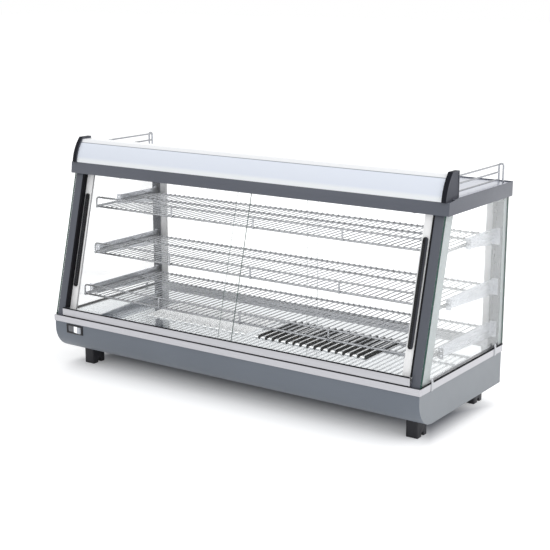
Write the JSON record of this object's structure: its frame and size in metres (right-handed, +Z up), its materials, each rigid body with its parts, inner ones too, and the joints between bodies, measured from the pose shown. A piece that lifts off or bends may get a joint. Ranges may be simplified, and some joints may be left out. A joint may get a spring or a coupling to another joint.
{
  "type": "heated display case",
  "caption": "Countertop heated display case: raked sliding glass front, sliding glass rear doors, wire shelves on tapered brackets, louvred floor, curved header and wire galleries",
  "frame": {"origin": "centre of the outline at the level of the feet's soles", "axes": "+X along the length, to the right seen from the front; +Y from the front to the rear; +Z up"},
  "size_m": [1.217, 0.4804, 0.66],
  "materials": {
    "base_paint": "semi-gloss grey powder coat",
    "trim_steel": "brushed stainless steel",
    "floor_steel": "polished stainless steel",
    "zinc_sheet": "galvanised sheet",
    "element_steel": "dull heating tube",
    "foot_plastic": "fine-grained black",
    "black_plastic": "satin black",
    "rocker_plastic": "glossy pale rocker",
    "frame_paint": "satin grey paint",
    "track_aluminium": "anodised",
    "stile_paint": "white coated",
    "pane_glass": "clear with green edges",
    "seal_rubber": "black",
    "wire_chrome": "bright plated wire",
    "bracket_steel": "stainless sheet",
    "header_paint": "white gloss",
    "lamp_cover": "milky diffuser",
    "screw_steel": "zinc plated"
  },
  "bodies": {
    "case": {"base_body": "base_paint", "canopy_frame": "base_paint", "control_plate": "base_paint", "base_trim": "trim_steel", "roof_panel": "trim_steel", "glass_clips": "trim_steel", "deck_plate": "floor_steel", "bottom_cover": "zinc_sheet", "heat_tray": "zinc_sheet", "ceiling_panel": "zinc_sheet", "heating_element_left": "element_steel", "heating_element_right": "element_steel", "foot_front_left": "foot_plastic", "foot_front_right": "foot_plastic", "foot_rear_left": "foot_plastic", "foot_rear_right": "foot_plastic", "light_switch_housing": "black_plastic", "heat_switch_housing": "black_plastic", "thermostat": "black_plastic", "cable_gland": "black_plastic", "header_cap_left": "black_plastic", "header_cap_right": "black_plastic", "front_upright_left": "frame_paint", "front_upright_right": "frame_paint", "rear_post_left": "frame_paint", "rear_post_right": "frame_paint", "front_lower_track": "track_aluminium", "front_upper_track": "track_aluminium", "rear_lower_track": "track_aluminium", "rear_upper_track": "track_aluminium", "side_glass_left": "pane_glass", "side_glass_right": "pane_glass", "glass_seals": "seal_rubber", "shelf_lower": "wire_chrome", "shelf_middle": "wire_chrome", "shelf_upper": "wire_chrome", "shelf_rail_lower": "wire_chrome", "shelf_rail_middle": "wire_chrome", "shelf_rail_upper": "wire_chrome", "gallery_left": "wire_chrome", "gallery_right": "wire_chrome", "shelf_brackets_lower": "bracket_steel", "shelf_brackets_middle": "bracket_steel", "shelf_brackets_upper": "bracket_steel", "header_panel": "header_paint", "lamp_strip": "lamp_cover", "foot_screws": "screw_steel"},
    "front_door_left": {"front_door_left_glass": "pane_glass", "front_door_left_stile": "stile_paint", "front_door_left_handle": "black_plastic"},
    "front_door_right": {"front_door_right_glass": "pane_glass", "front_door_right_stile": "stile_paint", "front_door_right_handle": "black_plastic"},
    "rear_door_left": {"rear_door_left_glass": "pane_glass", "rear_door_left_stile": "stile_paint"},
    "rear_door_right": {"rear_door_right_glass": "pane_glass", "rear_door_right_stile": "stile_paint"},
    "light_switch": {"light_switch_rocker": "rocker_plastic"},
    "heat_switch": {"heat_switch_rocker": "rocker_plastic"},
    "thermostat_dial": {"thermostat_knob": "black_plastic"}
  },
  "joints": [
    {"name": "front_door_left_slide", "type": "slide", "parent": "case", "child": "front_door_left", "axis": [1, 0, 0], "range_m": [0, 0.53]},
    {"name": "front_door_right_slide", "type": "slide", "parent": "case", "child": "front_door_right", "axis": [-1, 0, 0], "range_m": [0, 0.53]},
    {"name": "rear_door_left_slide", "type": "slide", "parent": "case", "child": "rear_door_left", "axis": [1, 0, 0], "range_m": [0, 0.545]},
    {"name": "rear_door_right_slide", "type": "slide", "parent": "case", "child": "rear_door_right", "axis": [-1, 0, 0], "range_m": [0, 0.545]},
    {"name": "light_switch_rock", "type": "hinge", "parent": "case", "child": "light_switch", "pos_m": [-0.521, -0.22905, 0.123], "axis": [0, 0, 1], "range_deg": [0, 12]},
    {"name": "heat_switch_rock", "type": "hinge", "parent": "case", "child": "heat_switch", "pos_m": [0.425, 0.21915, 0.098], "axis": [0, 0, 1], "range_deg": [0, 12]},
    {"name": "thermostat_turn", "type": "hinge", "parent": "case", "child": "thermostat_dial", "pos_m": [0.33, 0.22365, 0.098], "axis": [0, -1, 0], "range_deg": [0, 270]}
  ]
}
